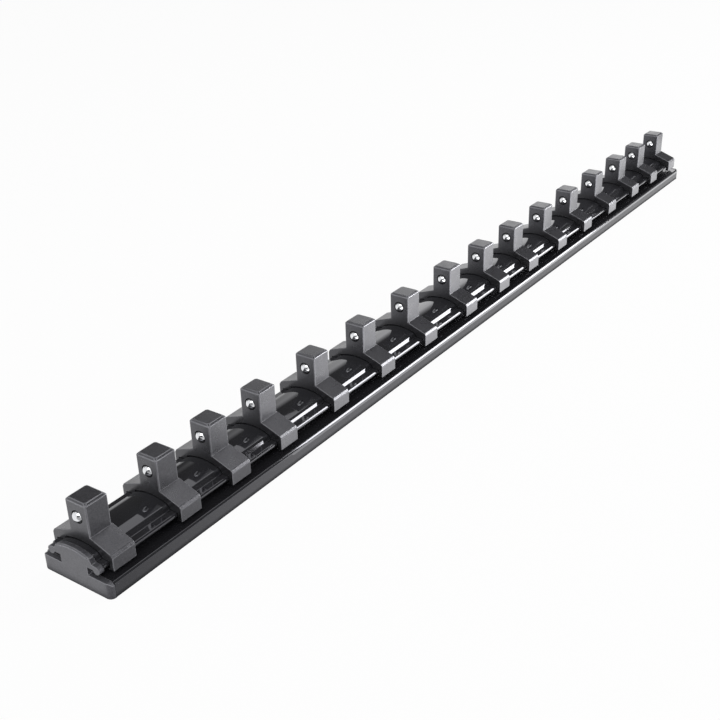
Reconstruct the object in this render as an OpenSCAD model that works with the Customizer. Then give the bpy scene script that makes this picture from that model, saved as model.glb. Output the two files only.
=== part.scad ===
// Socket rail: a long domed T-rail that carries sliding clips, each with a square drive post
// and a spring-loaded detent ball. Millimetres, +Z up, X along the rail, the clips' balls face -X.
// The origin is the middle of the rail's underside.

/* [Rail] */
// Length of the rail with both end caps
rail_l = 662; // [450:1:900]
// Width of the base
base_w = 42.2; // [38:0.2:60]
// Thickness of the base
base_t = 8.2; // [6.5:0.1:12]
// Radius along the base's upper edges
base_edge_r = 2.5; // [0.4:0.1:3]
// Width of the neck between base and head
neck_w = 16.6; // [14:0.2:19]
// Height of the slot between the base and the head's lips
slot_h = 4.2; // [3.8:0.1:8]
// Width of the head across its lips
head_w = 31.8; // [28:0.2:36]
// Thickness of a lip
lip_t = 2.3; // [2:0.1:3]
// Radius over a lip's nose
nose_r = 2; // [0.8:0.1:2]
// Rise of the shelf from a lip's nose to the foot of the step
shelf_rise = 0.2; // [0.1:0.1:1]
// Width of the head across the feet of its steps
step_foot_w = 23.2; // [21:0.2:25]
// Height of the step from the shelf up to the crown
step_h = 2.3; // [1:0.1:4]
// Width of the domed crown
crown_w = 20.2; // [16:0.2:20.8]
// Rise of the domed crown above its edges
crown_rise = 1.9; // [0.8:0.1:4]
// Wall left round the extrusion's chambers
chamber_wall = 2.2; // [1.4:0.1:2.6]

/* [End caps] */
// Thickness of an end cap's plate
cap_t = 3; // [2:0.1:6]
// Radius of the base's corners, seen from above
cap_corner_r = 2.8; // [0.5:0.1:5]
// Height of the bevel round the cap's outer face
cap_bevel = 0.7; // [0.2:0.1:1]
// Length of the plugs that go into the rail's chambers
plug_l = 7; // [3:0.5:15]
// Gap round each plug
plug_gap = 0.1; // [0.05:0.05:0.3]

/* [Clips] */
// Length of a clip along the rail
clip_l = 13.2; // [12.8:0.1:16]
// Gap between a clip and the rail's head
slide_gap = 0.3; // [0.15:0.05:0.5]
// Thickness of a clip's side walls
clip_wall = 2.2; // [1.6:0.1:3]
// Thickness of the saddle over the middle of the crown
saddle_t = 3.4; // [2.4:0.1:6]
// Drop of the saddle's top from the post to the side walls
shoulder_drop = 4.5; // [3:0.1:6]
// Radius along the saddle's shoulders
shoulder_r = 1.2; // [0.5:0.1:2]
// Thickness of the hooks under the lips
hook_t = 1.5; // [1:0.1:2]
// Reach of the hooks under the lips
hook_reach = 5; // [3:0.1:6]

/* [Drive posts] */
// Width of the square post
post_w = 12.5; // [9:0.1:12.7]
// Height of the post above the saddle
post_h = 16.7; // [13:0.1:24]
// Bevel on the post's upright edges
post_edge = 0.9; // [0.2:0.1:1.5]
// Bevel round the post's top
post_top_edge = 1; // [0.2:0.1:1.5]

/* [Detents] */
// Diameter of the ball
ball_d = 6; // [4:0.1:6.6]
// Height of the ball's centre below the post's top
ball_drop = 8; // [5:0.1:9]
// Gap between the ball and its bore
bore_gap = 0.05; // [0.02:0.01:0.1]
// Depth of the bore from the post's front face
bore_l = 9.6; // [8:0.1:10.5]
// Diameter of the bore's mouth, which holds the ball in
mouth_d = 5.8; // [3.6:0.1:6.4]
// Thickness of the rim round the mouth
mouth_rim_t = 0.15; // [0.1:0.05:0.6]
// Depth of the cone sunk into the post's face round the mouth
sink_depth = 0.35; // [0.1:0.05:0.6]
// Wire diameter of the spring
wire_d = 0.5; // [0.3:0.05:0.6]
// Gap between the spring and its bore
spring_gap = 0.25; // [0.1:0.05:0.4]
// Number of turns of the spring
spring_turns = 5; // [3:1:6]

/* [Hidden] */
$fn = 64;

// Free length in front of each clip, as shares of all the free length on the rail.
// The clips are loose, so they stand where they were last pushed.
gap_shares = [
    0.0129, 0.0626, 0.0482, 0.0520, 0.0701, 0.0705, 0.0725, 0.0777,
    0.0661, 0.0634, 0.0705, 0.0659, 0.0705, 0.0716, 0.0581, 0.0592
];
clip_count = len(gap_shares);
free_l = rail_l - clip_count * clip_l;

// What cuts run past a face by, and how far fused pieces run into each other
overrun = 1;
// How far the ball and the spring stay from their seats
seat_gap = 0.03;
// Corners of the spring's wire, and steps to a turn
wire_sides = 5;
turn_steps = 7;

// Heights on the rail
lip_z = base_t + slot_h;
lip_top_z = lip_z + lip_t;
step_foot_z = lip_top_z + shelf_rise;
crown_edge_z = step_foot_z + step_h;
crown_z = crown_edge_z + crown_rise;

// The crown is an arc through its two edges and its top
crown_r = (pow(crown_w / 2, 2) + pow(crown_rise, 2)) / (2 * crown_rise);
crown_centre_z = crown_z - crown_r;

// The clip's outline
clip_inner = head_w / 2 + slide_gap;
clip_outer = clip_inner + clip_wall;
clip_bottom_z = lip_z - slide_gap - hook_t;
saddle_z = crown_z + slide_gap + saddle_t;
shoulder_angle = atan2(shoulder_drop, clip_outer - post_w / 2);
shoulder_y = clip_outer - shoulder_r;
shoulder_z = saddle_z - (shoulder_y - post_w / 2) * tan(shoulder_angle)
    - shoulder_r / cos(shoulder_angle);

// The post is flush with the clip's front, and what it holds is measured from there
post_z = saddle_z + post_h;
ball_r = ball_d / 2;
mouth_r = mouth_d / 2;
ball_x = sink_depth + mouth_rim_t + sqrt(pow(ball_r, 2) - pow(mouth_r, 2)) + seat_gap;
ball_z = post_z - ball_drop;
bore_r = ball_r + bore_gap;
coil_r = bore_r - spring_gap - wire_d / 2;
// The wire runs in straight steps, whose middles come nearest to the ball
coil_step_r = coil_r * cos(180 / turn_steps);
coil_start = ball_x + sqrt(pow(ball_r + wire_d / 2 + seat_gap, 2) - pow(coil_step_r, 2));
coil_end = bore_l - wire_d / 2 - seat_gap;

function two_digits(i) = str(i < 10 ? "0" : "", i);
function node_names(stem) = [for (i = [1 : clip_count]) str(stem, "_", two_digits(i))];

// Sum of the first n entries of a list
function sum_of(list, n) = n == 0 ? 0 : list[n - 1] + sum_of(list, n - 1);

// Where the front of clip number i stands
function clip_x(i) = -rail_l / 2 + sum_of(gap_shares, i) * free_l + (i - 1) * clip_l;

// Extrudes an outline drawn across the rail, in Y and Z, for a length along the rail
module along_rail(length) {
    rotate([90, 0, 90]) linear_extrude(length) children();
}

// A rectangle centred on the rail's middle plane, from one height to another
module band(width, z_low, z_high) {
    translate([-width / 2, z_low]) square([width, z_high - z_low]);
}

module both_sides() {
    children();
    mirror([1, 0]) children();
}

// The head's outline, grown by a gap all round for what slides over it
module head_outline(gap = 0) {
    edge_y = crown_w / 2 + gap;
    edge_z = crown_centre_z + sqrt(pow(crown_r + gap, 2) - pow(edge_y, 2));
    tip_y = head_w / 2 + gap;
    nose_y = head_w / 2 - nose_r;
    nose_z = lip_top_z - nose_r;
    right_side = [
        [tip_y, lip_z - gap],
        [tip_y, nose_z],
        [nose_y, lip_top_z + gap],
        [step_foot_w / 2 + gap, step_foot_z + gap],
        [edge_y, edge_z]
    ];
    left_side = [for (i = [len(right_side) - 1 : -1 : 0]) [-right_side[i].x, right_side[i].y]];
    polygon(concat(right_side, left_side));
    both_sides() translate([nose_y, nose_z]) circle(r = nose_r + gap);
    intersection() {
        translate([0, crown_centre_z]) circle(r = crown_r + gap);
        band(crown_w + 2 * gap, edge_z, crown_z + gap + overrun);
    }
}

module base_outline() {
    band(base_w, 0, base_t - base_edge_r);
    band(base_w - 2 * base_edge_r, 0, base_t);
    both_sides() translate([base_w / 2 - base_edge_r, base_t - base_edge_r]) circle(r = base_edge_r);
}

// The rail's section, extruded for a length from x = 0
module rail_section(length) {
    along_rail(length) base_outline();
    along_rail(length) band(neck_w, 0, lip_z + lip_t / 2);
    along_rail(length) head_outline();
}

// The extrusion's three chambers, drawn in by a gap for the plugs that go into them
module chamber_outlines(gap = 0) {
    side_in = neck_w / 2 + gap;
    side_out = base_w / 2 - chamber_wall - gap;
    band(neck_w - 2 * chamber_wall - 2 * gap, chamber_wall + gap, crown_z - chamber_wall - gap);
    both_sides() translate([side_in, chamber_wall + gap])
        square([side_out - side_in, base_t - 2 * chamber_wall - 2 * gap]);
}

module rail() {
    length = rail_l - 2 * cap_t;
    color([0.07, 0.07, 0.08]) translate([-length / 2, 0, 0]) difference() {
        rail_section(length);
        translate([-overrun, 0, 0]) along_rail(length + 2 * overrun) chamber_outlines();
    }
}

// The cap's plan: the base's two outer corners are round, and as deep as the cap allows
module cap_plan() {
    corner_r = min(cap_corner_r, cap_t);
    straight_w = base_w - 2 * corner_r;
    translate([0, -straight_w / 2]) square([cap_t, straight_w]);
    translate([corner_r, -base_w / 2]) square([cap_t - corner_r + overrun, base_w]);
    for (side = [-1, 1]) translate([corner_r, side * straight_w / 2]) circle(r = corner_r);
}

// What the bevel takes off the crown's edge on a cap's outer face
module crown_bevel() {
    reach = crown_r + overrun;
    intersection() {
        translate([0, 0, crown_centre_z]) rotate([0, 90, 0]) rotate_extrude() polygon([
            [crown_r - cap_bevel, 0], [crown_r - cap_bevel, -overrun],
            [reach, -overrun], [reach, cap_bevel + overrun]
        ]);
        translate([-overrun, -crown_w / 2, crown_edge_z]) cube([2 * overrun + cap_bevel, crown_w, crown_rise + overrun]);
    }
}

// An end cap, with its outer face at x = 0 and its plugs towards +X
module end_cap() {
    color([0.2, 0.2, 0.22]) {
        difference() {
            intersection() {
                rail_section(cap_t);
                linear_extrude(crown_z + overrun) cap_plan();
            }
            crown_bevel();
        }
        translate([cap_t - overrun, 0, 0]) along_rail(plug_l + overrun) chamber_outlines(plug_gap);
    }
}

module end_cap_near() {
    translate([-rail_l / 2, 0, 0]) end_cap();
}

module end_cap_far() {
    mirror([1, 0, 0]) end_cap_near();
}

// The saddle's outer outline: a flat under the post, sloping shoulders and upright sides
module saddle_outer() {
    shoulder_end = [
        shoulder_y + shoulder_r * sin(shoulder_angle),
        shoulder_z + shoulder_r * cos(shoulder_angle)
    ];
    right_side = [
        [clip_outer, clip_bottom_z],
        [clip_outer, shoulder_z],
        shoulder_end,
        [post_w / 2, saddle_z]
    ];
    left_side = [for (i = [len(right_side) - 1 : -1 : 0]) [-right_side[i].x, right_side[i].y]];
    polygon(concat(right_side, left_side));
    both_sides() translate([shoulder_y, shoulder_z]) circle(r = shoulder_r);
}

// What the saddle leaves open: room for the rail's head, and the way down between the hooks
module saddle_pocket() {
    head_outline(slide_gap);
    band(2 * clip_inner, lip_z - slide_gap, lip_top_z + slide_gap);
    band(2 * (clip_inner - hook_reach), clip_bottom_z - overrun, lip_z);
}

module bevelled_square(width, bevel) {
    half = width / 2;
    polygon([
        [half, half - bevel], [half - bevel, half], [bevel - half, half], [-half, half - bevel],
        [-half, bevel - half], [bevel - half, -half], [half - bevel, -half], [half, bevel - half]
    ]);
}

module drive_post() {
    sunk = saddle_t / 2;
    translate([post_w / 2, 0, saddle_z - sunk]) hull() {
        linear_extrude(post_h + sunk - post_top_edge) bevelled_square(post_w, post_edge);
        linear_extrude(post_h + sunk) bevelled_square(post_w - 2 * post_top_edge, post_edge);
    }
}

// The bore's sunk cone, its mouth and the bore itself, from the post's face inwards
module ball_bore() {
    rim_end = sink_depth + mouth_rim_t;
    sink_l = sink_depth + overrun;
    translate([0, 0, ball_z]) rotate([0, 90, 0]) {
        translate([0, 0, -overrun]) cylinder(r1 = mouth_r + sink_l, r2 = mouth_r, h = sink_l);
        cylinder(r = mouth_r, h = rim_end + overrun);
        translate([0, 0, rim_end]) cylinder(r = bore_r, h = bore_l - rim_end);
    }
}

module clip(i) {
    color([0.27, 0.27, 0.29]) translate([clip_x(i), 0, 0]) difference() {
        union() {
            along_rail(clip_l) difference() {
                saddle_outer();
                saddle_pocket();
            }
            drive_post();
        }
        ball_bore();
    }
}

module ball(i) {
    color([0.85, 0.86, 0.88]) translate([clip_x(i) + ball_x, 0, ball_z]) sphere(r = ball_r);
}

// The middle of the spring's wire, as points along a helix about X
coil_points = [
    for (k = [0 : spring_turns * turn_steps])
        let (turn = 360 * k / turn_steps, along = k / (spring_turns * turn_steps))
        [coil_start + along * (coil_end - coil_start), coil_r * cos(turn), coil_r * sin(turn)]
];
coil_pitch = (coil_end - coil_start) / spring_turns;
least_turn_gap = min([
    for (k = [0 : len(coil_points) - 1 - turn_steps])
        norm(coil_points[k + turn_steps] - coil_points[k])
]) - wire_d;
echo(str("Least gap between the spring's turns: ", least_turn_gap));

// A ring of the wire's corners, square to the helix, at point k
function wire_ring(k) =
    let (
        turn = 360 * k / turn_steps,
        outward = [0, cos(turn), sin(turn)],
        lead = atan2(coil_pitch, 2 * PI * coil_r),
        aside = [cos(lead), sin(lead) * sin(turn), -sin(lead) * cos(turn)]
    )
    [
        for (s = [0 : wire_sides - 1])
            let (angle = 360 * s / wire_sides)
            coil_points[k] + wire_d / 2 * (cos(angle) * outward + sin(angle) * aside)
    ];

module coil_spring() {
    rings = len(coil_points);
    corners = [for (k = [0 : rings - 1]) each wire_ring(k)];
    sides = [
        for (k = [0 : rings - 2], s = [0 : wire_sides - 1])
            let (
                a = k * wire_sides + s,
                b = k * wire_sides + (s + 1) % wire_sides
            )
            each [[a, b, b + wire_sides], [a, b + wire_sides, a + wire_sides]]
    ];
    first_end = [for (s = [wire_sides - 1 : -1 : 0]) s];
    last_end = [for (s = [0 : wire_sides - 1]) (rings - 1) * wire_sides + s];
    polyhedron(points = corners, faces = concat(sides, [first_end, last_end]));
}

module spring(i) {
    color([0.62, 0.64, 0.67]) translate([clip_x(i), 0, ball_z]) coil_spring();
}

rail();
end_cap_near();
end_cap_far();
for (i = [1 : clip_count]) {
    clip(i);
    ball(i);
    spring(i);
}
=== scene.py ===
import math

import bmesh
import bpy
from mathutils import Matrix, Vector
from mathutils.bvhtree import BVHTree


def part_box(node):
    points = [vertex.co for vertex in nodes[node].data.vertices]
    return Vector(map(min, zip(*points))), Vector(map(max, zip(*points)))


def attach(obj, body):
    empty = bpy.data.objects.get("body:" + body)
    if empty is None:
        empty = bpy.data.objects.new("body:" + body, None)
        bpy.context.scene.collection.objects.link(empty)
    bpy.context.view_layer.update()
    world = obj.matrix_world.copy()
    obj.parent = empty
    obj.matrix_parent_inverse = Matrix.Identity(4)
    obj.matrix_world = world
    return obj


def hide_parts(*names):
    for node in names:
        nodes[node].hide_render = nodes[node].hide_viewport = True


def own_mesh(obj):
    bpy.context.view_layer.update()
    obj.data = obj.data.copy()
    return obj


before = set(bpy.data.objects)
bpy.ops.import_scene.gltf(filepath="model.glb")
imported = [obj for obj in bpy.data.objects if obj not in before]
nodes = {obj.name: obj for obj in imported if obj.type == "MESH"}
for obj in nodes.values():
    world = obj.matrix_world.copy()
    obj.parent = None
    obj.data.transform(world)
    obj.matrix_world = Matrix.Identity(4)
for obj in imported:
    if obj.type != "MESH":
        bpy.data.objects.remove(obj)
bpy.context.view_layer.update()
scene = bpy.context.scene
scene.view_settings.view_transform = "Standard"
print("frame loaded,", len(nodes), "nodes")

mm = 0.001
clipNumbers = range(1, 17)


# Material helpers. Every pattern on the object reads Object coordinates, in metres.

def newMaterial(name):
    material = bpy.data.materials.new(name)
    material.use_nodes = True
    return material, material.node_tree, material.node_tree.nodes["Principled BSDF"]


def objectPoints(tree, stretch=(1, 1, 1)):
    place = tree.nodes.new("ShaderNodeTexCoord")
    mapping = tree.nodes.new("ShaderNodeMapping")
    mapping.inputs["Scale"].default_value = stretch
    tree.links.new(place.outputs["Object"], mapping.inputs["Vector"])
    return mapping.outputs["Vector"]


def axesOf(tree, points):
    node = tree.nodes.new("ShaderNodeSeparateXYZ")
    tree.links.new(points, node.inputs["Vector"])
    return node.outputs["X"], node.outputs["Y"], node.outputs["Z"]


def noise(tree, points, scale, detail, roughness):
    texture = tree.nodes.new("ShaderNodeTexNoise")
    texture.inputs["Scale"].default_value = scale
    texture.inputs["Detail"].default_value = detail
    texture.inputs["Roughness"].default_value = roughness
    tree.links.new(points, texture.inputs["Vector"])
    return texture.outputs["Fac"]


def spread(tree, value, fromLow, fromHigh, toLow, toHigh):
    node = tree.nodes.new("ShaderNodeMapRange")
    node.inputs["From Min"].default_value = fromLow
    node.inputs["From Max"].default_value = fromHigh
    node.inputs["To Min"].default_value = toLow
    node.inputs["To Max"].default_value = toHigh
    tree.links.new(value, node.inputs["Value"])
    return node.outputs["Result"]


def mixColours(tree, factor, first, second):
    node = tree.nodes.new("ShaderNodeMix")
    node.data_type = "RGBA"
    tree.links.new(factor, node.inputs["Factor"])
    for socket, colour in ((node.inputs[6], first), (node.inputs[7], second)):
        if isinstance(colour, bpy.types.NodeSocket):
            tree.links.new(colour, socket)
        else:
            socket.default_value = (*colour, 1)
    return node.outputs[2]


def combine(tree, kind, first, second):
    node = tree.nodes.new("ShaderNodeMath")
    node.operation = kind
    for socket, value in zip(node.inputs, (first, second)):
        if isinstance(value, bpy.types.NodeSocket):
            tree.links.new(value, socket)
        else:
            socket.default_value = value
    return node.outputs["Value"]


def bump(tree, shader, height, strength, depth):
    node = tree.nodes.new("ShaderNodeBump")
    node.inputs["Strength"].default_value = strength
    node.inputs["Distance"].default_value = depth * mm
    tree.links.new(height, node.inputs["Height"])
    tree.links.new(node.outputs["Normal"], shader.inputs["Normal"])


def faceValue(tree, name):
    node = tree.nodes.new("ShaderNodeAttribute")
    node.attribute_name = name
    return node.outputs["Fac"]


# Glossy black plastic of the rail, with faint drawing lines along it and a little dust

railFinish = dict(
    deep=(0.011, 0.011, 0.0125), worn=(0.019, 0.019, 0.0215), tint=(0.93, 0.93, 1.0), ior=1.8,
    lineStretch=(4, 900, 900), lineDetail=2.0, lineRoughness=0.5, lineStrength=0.03, lineDepth=0.02,
    smudgeScale=18, smudgeDetail=5.0, smudgeRoughness=0.6,
    mixFrom=0.1, mixTo=0.5, roughLow=0.04, roughHigh=0.09,
)


def makeRailPlastic(s):
    material, tree, shader = newMaterial("glossBlackPlastic")
    lines = noise(
        tree, objectPoints(tree, s["lineStretch"]), 1.0, s["lineDetail"], s["lineRoughness"])
    smudges = noise(
        tree, objectPoints(tree), s["smudgeScale"], s["smudgeDetail"], s["smudgeRoughness"])
    colour = mixColours(tree, smudges, s["deep"], s["worn"])
    tree.links.new(colour, shader.inputs["Base Color"])
    mixed = combine(tree, "MULTIPLY", lines, smudges)
    rough = spread(tree, mixed, s["mixFrom"], s["mixTo"], s["roughLow"], s["roughHigh"])
    tree.links.new(rough, shader.inputs["Roughness"])
    shader.inputs["IOR"].default_value = s["ior"]
    shader.inputs["Specular Tint"].default_value = (*s["tint"], 1)
    bump(tree, shader, lines, s["lineStrength"], s["lineDepth"])
    return material


# Moulded plastic of clips and caps: fine grain, with edges worn smoother and paler, the paleness
# partly wear and partly a painted highlight. The front faces of clips get painted shade between
# the heights shadeLow and shadeHigh, most at the bottom.

mouldedFinish = dict(
    tint=(0.93, 0.93, 1.0), ior=1.8,
    grainScale=1500, grainDetail=2.0, grainRoughness=0.6, grainFrom=0.35, grainTo=0.65, grainDepth=0.04,
    cloudDetail=4.0, cloudRoughness=0.55, cloudFrom=0.3, cloudTo=0.7,
    shadeLow=0.020, shadeHigh=0.026, shadeShare=0.75,
)
clipFinish = dict(
    mouldedFinish, name="mouldedClipPlastic", dark=(0.016, 0.016, 0.018), light=(0.043, 0.043, 0.048),
    edge=(0.26, 0.26, 0.28), shade=(0.004, 0.004, 0.004), cloudScale=130,
    roughLow=0.25, roughHigh=0.34, edgeRough=0.15, grainStrength=0.5, specular=0.5,
)
# Painted shade for the ball's hole: near black, with little shine
holePaintedShadeFinish = dict(
    mouldedFinish, name="paintedShadeHolePlastic", dark=(0.003, 0.003, 0.003), light=(0.006, 0.006, 0.006),
    edge=(0.006, 0.006, 0.006), shade=(0.003, 0.003, 0.003), cloudScale=130,
    roughLow=0.45, roughHigh=0.6, edgeRough=0.45, grainStrength=0.3, specular=0.05,
)
capFinish = dict(
    mouldedFinish, name="mouldedCapPlastic", dark=(0.043, 0.043, 0.048), light=(0.075, 0.075, 0.083),
    edge=(0.28, 0.28, 0.30), shade=(0.004, 0.004, 0.004), cloudScale=110,
    roughLow=0.30, roughHigh=0.42, edgeRough=0.20, grainStrength=0.5, specular=0.5,
)


def makeMouldedPlastic(s):
    material, tree, shader = newMaterial(s["name"])
    points = objectPoints(tree)
    grain = noise(tree, points, s["grainScale"], s["grainDetail"], s["grainRoughness"])
    clouds = noise(tree, points, s["cloudScale"], s["cloudDetail"], s["cloudRoughness"])
    wornAndHighlighted = faceValue(tree, "wornAndHighlightedEdge")
    grainShare = spread(tree, grain, s["grainFrom"], s["grainTo"], 0, 1)
    body = mixColours(tree, grainShare, s["dark"], s["light"])
    # edges paler and smoother: partly wear, partly painted highlight
    outside = mixColours(tree, combine(tree, "MULTIPLY", wornAndHighlighted, clouds), body, s["edge"])
    # painted shade on the clips' front faces, darkest at their foot
    height = axesOf(tree, points)[2]
    low = spread(tree, height, s["shadeLow"], s["shadeHigh"], s["shadeShare"], 0)
    shaded = combine(tree, "MULTIPLY", faceValue(tree, "paintedShadeFront"), low)
    tree.links.new(mixColours(tree, shaded, outside, s["shade"]), shader.inputs["Base Color"])
    rough = spread(tree, clouds, s["cloudFrom"], s["cloudTo"], s["roughLow"], s["roughHigh"])
    smoother = combine(tree, "MULTIPLY", wornAndHighlighted, s["roughLow"] - s["edgeRough"])
    tree.links.new(combine(tree, "SUBTRACT", rough, smoother), shader.inputs["Roughness"])
    shader.inputs["IOR"].default_value = s["ior"]
    shader.inputs["Specular IOR Level"].default_value = s["specular"]
    shader.inputs["Specular Tint"].default_value = (*s["tint"], 1)
    bump(tree, shader, grain, s["grainStrength"], s["grainDepth"])
    return material


# Chrome of the balls and drawn steel of the springs

chromeFinish = dict(
    name="ballChrome", dark=(0.7812, 0.7905, 0.8091), light=(0.84, 0.85, 0.87),
    stretch=(1, 1, 1), scale=900, detail=4.0, roughness=0.6, markFrom=0.3, markTo=0.7,
    roughLow=0.03, roughHigh=0.08,
)
springFinish = dict(
    name="drawnSpringSteel", dark=(0.36, 0.36, 0.37), light=(0.55, 0.55, 0.56),
    stretch=(400, 3000, 3000), scale=1.0, detail=3.0, roughness=0.5, markFrom=0.3, markTo=0.7,
    roughLow=0.22, roughHigh=0.36, drawStrength=0.1, drawDepth=0.01,
)


def makeMetal(s):
    material, tree, shader = newMaterial(s["name"])
    marks = noise(tree, objectPoints(tree, s["stretch"]), s["scale"], s["detail"], s["roughness"])
    tree.links.new(mixColours(tree, marks, s["dark"], s["light"]), shader.inputs["Base Color"])
    rough = spread(tree, marks, s["markFrom"], s["markTo"], s["roughLow"], s["roughHigh"])
    tree.links.new(rough, shader.inputs["Roughness"])
    shader.inputs["Metallic"].default_value = 1.0
    if "drawStrength" in s:
        bump(tree, shader, marks, s["drawStrength"], s["drawDepth"])
    return material


railPlastic = makeRailPlastic(railFinish)
clipPlastic = makeMouldedPlastic(clipFinish)
holePaintedShadePlastic = makeMouldedPlastic(holePaintedShadeFinish)
capPlastic = makeMouldedPlastic(capFinish)
ballChrome = makeMetal(chromeFinish)
springSteel = makeMetal(springFinish)
print("materials made")


# Piece helpers. Angles are in degrees and lengths in mm, in all the dictionaries of pieces.

meshing = dict(
    mergeWithin=0.002, flatWithin=0.6,  # for the copy of a solid
    roundFrom=28, smoothUpTo=38,  # angle between two faces
    thrownBeyond=0.36,  # share of the rounding's width
    slimmest=0.004,
)


def newPiece(bm, name, material):
    mesh = bpy.data.meshes.new(name)
    bm.to_mesh(mesh)
    bm.free()
    mesh.materials.append(material)
    piece = bpy.data.objects.new(name, mesh)
    scene.collection.objects.link(piece)
    return piece


def finishPiece(bm, name, material, body, node):
    piece = newPiece(bm, name, material)
    piece.data.shade_smooth()
    piece.data.set_sharp_from_angle(angle=math.radians(meshing["smoothUpTo"]))
    normals = piece.modifiers.new("flatFacesStayFlat", "WEIGHTED_NORMAL")
    normals.keep_sharp = True
    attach(piece, body)
    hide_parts(node)
    return piece


def joinFlatFaces(bm):
    bmesh.ops.dissolve_limit(
        bm, angle_limit=math.radians(meshing["flatWithin"]), verts=bm.verts, edges=bm.edges)


def copyOfNode(name):
    bm = bmesh.new()
    bm.from_mesh(nodes[name].data)
    bmesh.ops.remove_doubles(bm, verts=bm.verts, dist=meshing["mergeWithin"] * mm)
    joinFlatFaces(bm)
    return bm


def roundEdges(bm, width, segments, wanted):
    before = BVHTree.FromBMesh(bm)
    wornAndHighlighted = bm.faces.layers.float.new("wornAndHighlightedEdge")
    sharp = [e for e in bm.edges
             if e.is_manifold and e.calc_face_angle(0) > math.radians(meshing["roundFrom"]) and wanted(e)]
    made = bmesh.ops.bevel(
        bm, geom=sharp, offset=width * mm, offset_type="OFFSET", segments=segments, profile=0.5,
        affect="EDGES", material=-1, clamp_overlap=False, loop_slide=True)
    # rounded faces are marked paler: partly wear, partly painted highlight
    for face in made["faces"]:
        face[wornAndHighlighted] = 1.0
    for v in bm.verts:  # a corner that was thrown outwards goes back to the surface
        spot, normal = before.find_nearest(v.co)[:2]
        if (v.co - spot).dot(normal) > meshing["thrownBeyond"] * width * mm:
            v.co = spot
    bmesh.ops.dissolve_degenerate(bm, dist=meshing["slimmest"] * mm, edges=bm.edges)


# The rail: an outline across it, with rounded corners, drawn out along X. Each Bevel is how far
# in and how far down a flat edge goes, and each Round is a radius and its steps.

rail = dict(
    length=656, baseWidth=42.2, baseTop=8.2, baseBevel=(0.72, 1.07), footRound=(0.5, 3),
    neckWidth=16.6, headWidth=31.8, lipLow=12.4, lipHigh=14.9, lipRound=(0.85, 3), lipBevel=(0.6, 0.89),
    bevelRound=(0.3, 4), stepFootWidth=23.2, stepFoot=15.1, innerRound=(0.25, 3),
    crownWidth=20.2, crownEdge=17.2, crownTop=19.1, crownSteps=40, crownRound=(1.2, 4),
    chamberWall=2.2, cornerWithin=0.001,
)


def corner(bm, y, z):
    return bm.verts.new((0, y * mm, z * mm))


def chain(bm, verts):
    for a, b in zip(verts, verts[1:]):
        bm.edges.new((a, b))


def standsAt(v, width, height, within):
    return (abs(abs(v.co.y) - width / 2 * mm) < within * mm
            and abs(v.co.z - height * mm) < within * mm)


def roundCorners(bm, places, size, within):
    radius, steps = size
    corners = [v for width, height in places for v in bm.verts if standsAt(v, width, height, within)]
    bmesh.ops.bevel(
        bm, geom=corners, offset=radius * mm, offset_type="OFFSET", segments=steps, profile=0.5,
        affect="VERTICES", material=-1, clamp_overlap=False, loop_slide=True)


def drawRailOutline(bm, s):
    (baseIn, baseDown), (lipIn, lipDown) = s["baseBevel"], s["lipBevel"]
    foot = (s["baseWidth"], 0)
    baseBevel = [(s["baseWidth"], s["baseTop"] - baseDown), (s["baseWidth"] - 2 * baseIn, s["baseTop"])]
    neck = [(s["neckWidth"], s["baseTop"]), (s["neckWidth"], s["lipLow"])]
    lip = (s["headWidth"], s["lipLow"])
    lipBevel = [(s["headWidth"], s["lipHigh"] - lipDown), (s["headWidth"] - 2 * lipIn, s["lipHigh"])]
    step, crown = (s["stepFootWidth"], s["stepFoot"]), (s["crownWidth"], s["crownEdge"])
    sides = {}
    for side in (-1, 1):
        sides[side] = [corner(bm, side * width / 2, height)
                       for width, height in (foot, *baseBevel, *neck, lip, *lipBevel, step, crown)]
        chain(bm, sides[side])
    bm.edges.new((sides[-1][0], sides[1][0]))
    halfCrown, rise = s["crownWidth"] / 2, s["crownTop"] - s["crownEdge"]
    crownRadius = (halfCrown ** 2 + rise ** 2) / (2 * rise)
    bmesh.ops.spin(
        bm, geom=[sides[1][-1]], cent=(0, 0, (s["crownTop"] - crownRadius) * mm), axis=(1, 0, 0),
        angle=2 * math.asin(halfCrown / crownRadius), steps=s["crownSteps"])
    bmesh.ops.remove_doubles(bm, verts=bm.verts, dist=meshing["mergeWithin"] * mm)
    bmesh.ops.contextual_create(bm, geom=bm.edges[:])
    for places, size in (
            (baseBevel + lipBevel, s["bevelRound"]), ([foot], s["footRound"]), ([lip], s["lipRound"]),
            ([crown], s["crownRound"]), (neck + [step], s["innerRound"])):
        roundCorners(bm, places, size, s["cornerWithin"])
    bmesh.ops.delete(bm, geom=bm.faces[:], context="FACES_ONLY")


def drawChambers(bm, s):
    wall, sideIn, sideOut = s["chamberWall"], s["neckWidth"] / 2, s["baseWidth"] / 2 - s["chamberWall"]
    for left, right, low, high in (
            (-sideOut, -sideIn, wall, s["baseTop"] - wall), (sideIn, sideOut, wall, s["baseTop"] - wall),
            (wall - sideIn, sideIn - wall, wall, s["crownTop"] - wall)):
        ring = [corner(bm, y, z) for y, z in ((left, low), (right, low), (right, high), (left, high))]
        chain(bm, ring + ring[:1])


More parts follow.
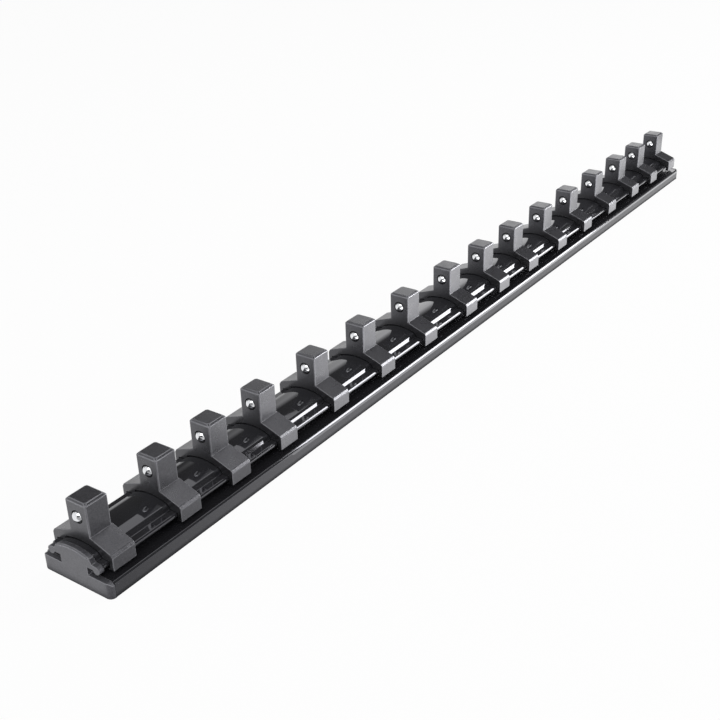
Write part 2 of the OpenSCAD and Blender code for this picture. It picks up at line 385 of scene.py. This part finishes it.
def buildRail(s):
    bm = bmesh.new()
    drawRailOutline(bm, s)
    drawChambers(bm, s)
    nearEdges = bm.edges[:]
    drawn = bmesh.ops.extrude_edge_only(bm, edges=nearEdges)["geom"]
    bmesh.ops.translate(
        bm, verts=[g for g in drawn if isinstance(g, bmesh.types.BMVert)], vec=(s["length"] * mm, 0, 0))
    farEdges = [e for e in bm.edges if all(v.co.x > s["length"] * mm / 2 for v in e.verts)]
    for edges in (nearEdges, farEdges):
        bmesh.ops.triangle_fill(bm, edges=edges, use_beauty=True)
    bmesh.ops.translate(bm, verts=bm.verts, vec=(-s["length"] * mm / 2, 0, 0))
    bmesh.ops.recalc_face_normals(bm, faces=bm.faces)
    return bm


finishPiece(buildRail(rail), "railExtrusion", railPlastic, "rail", "rail")
print("rail made")


# The end caps: only the plate is rounded, not the plugs inside the rail

cap = dict(round=0.25, steps=3, plate=3.01)


def buildCap(node, s):
    bm = copyOfNode(node)
    outerX = max(abs(v.co.x) for v in bm.verts)
    roundEdges(
        bm, s["round"], s["steps"],
        lambda edge: all(abs(v.co.x) > outerX - s["plate"] * mm for v in edge.verts))
    for v in bm.verts:
        v.co.x = math.copysign(min(abs(v.co.x), outerX), v.co.x)
    return bm


for end in ("near", "far"):
    node = "end_cap_" + end
    finishPiece(buildCap(node, cap), end + "EndCap", capPlastic, "rail", node)
print("end caps made")


# The clips: one is made and the others are copies of it, moved along the rail. Shoulders are worn
# smooth and paler like the edges, partly wear and partly painted highlight, the ball's hole has
# painted shade, and the front faces painted shade towards their foot.

clip = dict(
    round=0.3, steps=3, boreAxis=31.5, boreRadius=3.5, holeRadius=3.3,
    post=12.5, postFoot=22.8, edgeTop=38.5, edgeWas=0.9, edgeNow=0.45, postWithin=0.05,
    shoulderCentre=(17.2, 17.464), shoulderRound=1.2, shoulderFrom=0.3, shoulderWithin=0.03,
    bevelHigh=(17.45, 18.651), bevelLow=(18.4, 17.1), slopeAngle=20.3,
    channelSide=16.25, channelTop=15.1,
    frontFacing=0.9, shoulderAside=(0.45, 0.97), shoulderUp=0.2, shoulderWearAndHighlight=0.3,
)


def sharpenPost(bm, s):
    half, spare = s["post"] / 2 * mm, s["postWithin"] * mm
    middle = min(v.co.x for v in bm.verts) + half
    inner, outer = half - s["edgeWas"] * mm, half - s["edgeNow"] * mm
    for v in bm.verts:
        x, y = v.co.x - middle, v.co.y
        if not s["postFoot"] * mm - spare < v.co.z < s["edgeTop"] * mm + spare:
            continue
        if abs(abs(y) - half) < spare and abs(abs(x) - inner) < spare:
            v.co.x = middle + math.copysign(outer, x)
        elif abs(abs(x) - half) < spare and abs(abs(y) - inner) < spare:
            v.co.y = math.copysign(outer, y)


def flattenShoulders(bm, s):
    (centreY, centreZ), (highY, highZ), (lowY, lowZ) = s["shoulderCentre"], s["bevelHigh"], s["bevelLow"]
    spare = s["shoulderWithin"]
    for v in bm.verts:
        y, z = abs(v.co.y) / mm - centreY, v.co.z / mm - centreZ
        if abs(math.hypot(y, z) - s["shoulderRound"]) > spare or y < s["shoulderFrom"] or z < -spare:
            continue
        share = (math.degrees(math.atan2(y, z)) - s["slopeAngle"]) / (90 - s["slopeAngle"])
        v.co.y = math.copysign((highY + share * (lowY - highY)) * mm, v.co.y)
        v.co.z = (highZ + share * (lowZ - highZ)) * mm
    joinFlatFaces(bm)


def fromBoreAxis(point, s):
    return math.hypot(point.y, point.z - s["boreAxis"] * mm)


def isOutside(edge, s):  # not inside the channel for the rail, nor at the bore
    inChannel = all(
        abs(v.co.y) < s["channelSide"] * mm and v.co.z < s["channelTop"] * mm for v in edge.verts)
    middle = (edge.verts[0].co + edge.verts[1].co) / 2
    return not inChannel and fromBoreAxis(middle, s) > s["boreRadius"] * mm


def markClipFaces(bm, s):
    wornAndHighlighted = bm.faces.layers.float["wornAndHighlightedEdge"]
    shaded = bm.faces.layers.float.new("paintedShadeFront")
    leastAside, mostAside = s["shoulderAside"]
    for face in bm.faces:
        face.normal_update()
        isAside = abs(face.calc_center_median().y) > s["post"] * mm
        # the bore and its mouth get the near-black plastic of painted shade
        if all(fromBoreAxis(v.co, s) < s["holeRadius"] * mm for v in face.verts):
            face.material_index = 1  # the hole's plastic
        # front and back faces take painted shade towards their foot in the material
        elif abs(face.normal.x) > s["frontFacing"]:
            face[shaded] = 1.0
        # shoulders marked paler: partly wear, partly painted highlight
        elif isAside and leastAside < abs(face.normal.y) < mostAside and face.normal.z > s["shoulderUp"]:
            face[wornAndHighlighted] = s["shoulderWearAndHighlight"]


def buildClip(s):
    bm = copyOfNode("clip_01")
    sharpenPost(bm, s)
    flattenShoulders(bm, s)
    roundEdges(bm, s["round"], s["steps"], lambda edge: isOutside(edge, s))
    markClipFaces(bm, s)
    return bm


firstClip = buildClip(clip)
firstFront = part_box("clip_01")[0].x
for number in clipNumbers:
    node = "clip_%02d" % number
    bm = firstClip.copy()
    bmesh.ops.translate(bm, verts=bm.verts, vec=(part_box(node)[0].x - firstFront, 0, 0))
    piece = finishPiece(bm, "slidingClip%02d" % number, clipPlastic, node, node)
    piece.data.materials.append(holePaintedShadePlastic)
firstClip.free()
print("clips made")


# The balls keep their own shape. Each spring shortens towards its seat as its ball is pressed.


def buildSpring(number):
    node, body = "spring_%02d" % number, "clip_%02d" % number
    piece = finishPiece(
        copyOfNode(node), "coilSpring%02d" % number, springSteel, body, node)
    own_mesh(piece)


for number in clipNumbers:
    nodes["ball_%02d" % number].material_slots[0].material = ballChrome
    buildSpring(number)
print("balls and springs finished")


# Floor: pale, and white to the camera with a faint shadow kept. In reflections it is white too,
# but with painted shade along the near end on the -Y side, and a painted shadow, nearly dark, in a
# strip round the rail's foot. In metres.

floor = dict(
    size=12.0, below=0.00005, colour=(0.86, 0.86, 0.86), roughness=0.9, shadowShare=0.05,
    dimEnd=-0.33, dimTo=-0.19, dimLevel=0.42, dimSide=-0.03, dimInner=-0.01,
    footSide=0.0216, footEnd=0.3315, footSoft=0.0022, footLevel=0.12,
)


def floorMirrorLevel(tree, s):
    x, y, _ = axesOf(tree, objectPoints(tree))
    # painted shade in reflections at the near end, on the -Y side
    along = spread(tree, x, s["dimEnd"], s["dimTo"], s["dimLevel"], 1.0)
    across = spread(tree, y, s["dimSide"], s["dimInner"], 0.0, 1.0)
    # painted contact shadow in reflections, in a strip round the rail's foot
    shadowBesideFoot, shadowBeyondFoot = (
        spread(tree, combine(tree, "ABSOLUTE", axis, 0), edge, edge + s["footSoft"], s["footLevel"], 1)
        for axis, edge in ((y, s["footSide"]), (x, s["footEnd"])))
    foot = combine(tree, "MAXIMUM", shadowBesideFoot, shadowBeyondFoot)
    return combine(tree, "MULTIPLY", combine(tree, "MAXIMUM", along, across), foot)


def makePaleFloor(s):
    material, tree, shader = newMaterial("paleFloor")
    shader.inputs["Base Color"].default_value = (*s["colour"], 1)
    shader.inputs["Roughness"].default_value = s["roughness"]
    shader.inputs["Specular IOR Level"].default_value = 0.0
    glow = tree.nodes.new("ShaderNodeEmission")
    rays = tree.nodes.new("ShaderNodeLightPath").outputs
    mirrored = combine(tree, "MAXIMUM", rays["Is Glossy Ray"], rays["Is Transmission Ray"])
    seen = combine(tree, "MAXIMUM", rays["Is Camera Ray"], mirrored)
    level = combine(tree, "MAXIMUM", floorMirrorLevel(tree, s), rays["Is Camera Ray"])
    tree.links.new(level, glow.inputs["Strength"])
    mix = tree.nodes.new("ShaderNodeMixShader")
    tree.links.new(combine(tree, "MULTIPLY", seen, 1 - s["shadowShare"]), mix.inputs["Fac"])
    tree.links.new(shader.outputs["BSDF"], mix.inputs[1])
    tree.links.new(glow.outputs["Emission"], mix.inputs[2])
    tree.links.new(mix.outputs["Shader"], tree.nodes["Material Output"].inputs["Surface"])
    return material


def buildFloor(s):
    bm = bmesh.new()
    bmesh.ops.create_grid(bm, x_segments=1, y_segments=1, size=s["size"] / 2)
    bmesh.ops.translate(bm, verts=bm.verts, vec=(0, 0, -s["below"]))
    newPiece(bm, "paleFloor", makePaleFloor(s))


buildFloor(floor)


# Room: white to the camera. To the object it is white low down and on the camera's side, with a
# bright wall at the back, a dark gap that the balls mirror, and dark overhead. Heights and near
# distances are shares of 1 on a sphere, and angles are degrees round Z.

room = dict(
    dark=0.10, lowTop=0.10, lowSoft=0.10,
    wall=1.75, wallFrom=13, wallFromSoft=4, wallTo=36, wallToSoft=18, wallTop=0.38, wallTopSoft=0.15,
    near=0.9, nearFrom=-0.3, nearSoft=0.2, nearTop=0.80, nearTopSoft=0.15,
    gapFrom=-172, gapTo=-124, gapSideSoft=2.865, gapLow=0.02, gapHigh=0.80, gapSoft=0.04,
)


def buildRoom(s):
    world = bpy.data.worlds.new("studio")
    scene.world = world
    world.use_nodes = True
    tree = world.node_tree
    place = tree.nodes.new("ShaderNodeTexCoord")
    x, y, z = axesOf(tree, place.outputs["Generated"])
    azimuth = combine(tree, "ARCTAN2", y, x)

    def rising(value, start, soft):
        return spread(tree, value, start, start + soft, 0, 1)

    def falling(value, start, soft):
        return spread(tree, value, start, start + soft, 1, 0)

    def risingAngle(start, soft):
        return rising(azimuth, math.radians(start), math.radians(soft))

    def fallingAngle(start, soft):
        return falling(azimuth, math.radians(start), math.radians(soft))

    def both(first, second):
        return combine(tree, "MULTIPLY", first, second)

    def brighter(first, second):
        return combine(tree, "MAXIMUM", first, second)

    gap = both(
        both(risingAngle(s["gapFrom"], s["gapSideSoft"]), fallingAngle(s["gapTo"], s["gapSideSoft"])),
        both(rising(z, s["gapLow"], s["gapSoft"]), falling(z, s["gapHigh"], s["gapSoft"])))
    notGap = combine(tree, "SUBTRACT", 1, gap)
    low = both(falling(z, s["lowTop"], s["lowSoft"]), notGap)
    near = both(
        both(falling(x, s["nearFrom"], s["nearSoft"]), falling(z, s["nearTop"], s["nearTopSoft"])), notGap)
    wall = both(
        both(risingAngle(s["wallFrom"], s["wallFromSoft"]), fallingAngle(s["wallTo"], s["wallToSoft"])),
        falling(z, s["wallTop"], s["wallTopSoft"]))
    lit = brighter(brighter(low, both(wall, s["wall"])), both(near, s["near"]))
    path = tree.nodes.new("ShaderNodeLightPath")
    level = brighter(path.outputs["Is Camera Ray"], brighter(lit, s["dark"]))
    background = tree.nodes["Background"]
    background.inputs["Color"].default_value = (1, 1, 1, 1)
    tree.links.new(level, background.inputs["Strength"])


buildRoom(room)


# Softboxes: each stands at a place in metres, faces a point, and its level of 1 is white

softboxes = dict(
    right=dict(place=(1.204, -0.970, 0.385), faces=(0, 0, 0.02), size=(0.72, 0.75), level=12),
    overhead=dict(place=(0.40, 0.02, 1.0), faces=(0.1, 0, 0), size=(0.9, 0.55), level=1.1),
    fill=dict(place=(-1.1, -0.6, 1.4), faces=(0, 0, 0.02), size=(1.4, 1.2), level=2.6),
)


def hangPanel(name, place, turn, size, level):
    lamp = bpy.data.lights.new(name, "AREA")
    lamp.shape = "RECTANGLE"
    lamp.size, lamp.size_y = size
    lamp.energy = level * math.pi * lamp.size * lamp.size_y
    panel = bpy.data.objects.new(name, lamp)
    panel.location = place
    panel.rotation_euler = turn
    panel.visible_camera = False
    scene.collection.objects.link(panel)


def buildSoftbox(name, s):
    turn = (Vector(s["faces"]) - Vector(s["place"])).to_track_quat("-Z", "Y").to_euler()
    hangPanel(name, s["place"], turn, s["size"], s["level"])


for name, settings in softboxes.items():
    buildSoftbox(name + "Softbox", settings)


# Light table beside the rail: panels that lie on the floor and face up, brightest before the
# middle. In metres.

lightTable = dict(
    nearEnd=-0.20, panelLength=0.040, inner=-0.0265, outer=-0.60, height=0.0005,
    levels=(1.0, 1.15, 1.3, 1.5, 1.65, 1.7, 1.7, 1.65, 1.6, 1.5, 1.4, 1.3, 1.25, 1.2, 1.15, 1.1),
)


def buildLightTable(s):
    for number, level in enumerate(s["levels"]):
        middle = s["nearEnd"] + (number + 0.5) * s["panelLength"]
        hangPanel(
            "tablePanel%02d" % (number + 1), (middle, (s["inner"] + s["outer"]) / 2, s["height"]),
            (math.pi, 0, 0), (s["panelLength"], s["inner"] - s["outer"]), level)


buildLightTable(lightTable)
print("floor, room and softboxes made")


# Camera, at the photograph's viewing angle. Its target and distance are in mm.

camera = dict(
    azimuth=-54.393, elevation=27.292, roll=-1.728, distance=611.028,
    target=(-117.557, 0, 14.614), focalPixels=1078.459, framePixels=720, sensor=36, sees=(0.01, 50),
)


def buildCamera(s):
    azimuth, elevation, roll = (math.radians(s[k]) for k in ("azimuth", "elevation", "roll"))
    back = Vector((
        math.sin(azimuth) * math.cos(elevation), -math.cos(azimuth) * math.cos(elevation),
        math.sin(elevation)))
    level = (-back).cross(Vector((0, 0, 1))).normalized()
    upright = level.cross(-back)
    right = math.cos(roll) * level + math.sin(roll) * upright
    up = math.cos(roll) * upright - math.sin(roll) * level
    data = bpy.data.cameras.new("camera")
    data.sensor_width = s["sensor"]
    data.lens = s["focalPixels"] / s["framePixels"] * s["sensor"]
    data.clip_start, data.clip_end = s["sees"]
    view = bpy.data.objects.new("camera", data)
    turn = Matrix((right, up, back)).transposed().to_4x4()
    view.matrix_world = Matrix.Translation((Vector(s["target"]) + s["distance"] * back) * mm) @ turn
    scene.collection.objects.link(view)
    scene.camera = view


buildCamera(camera)
print("camera made")
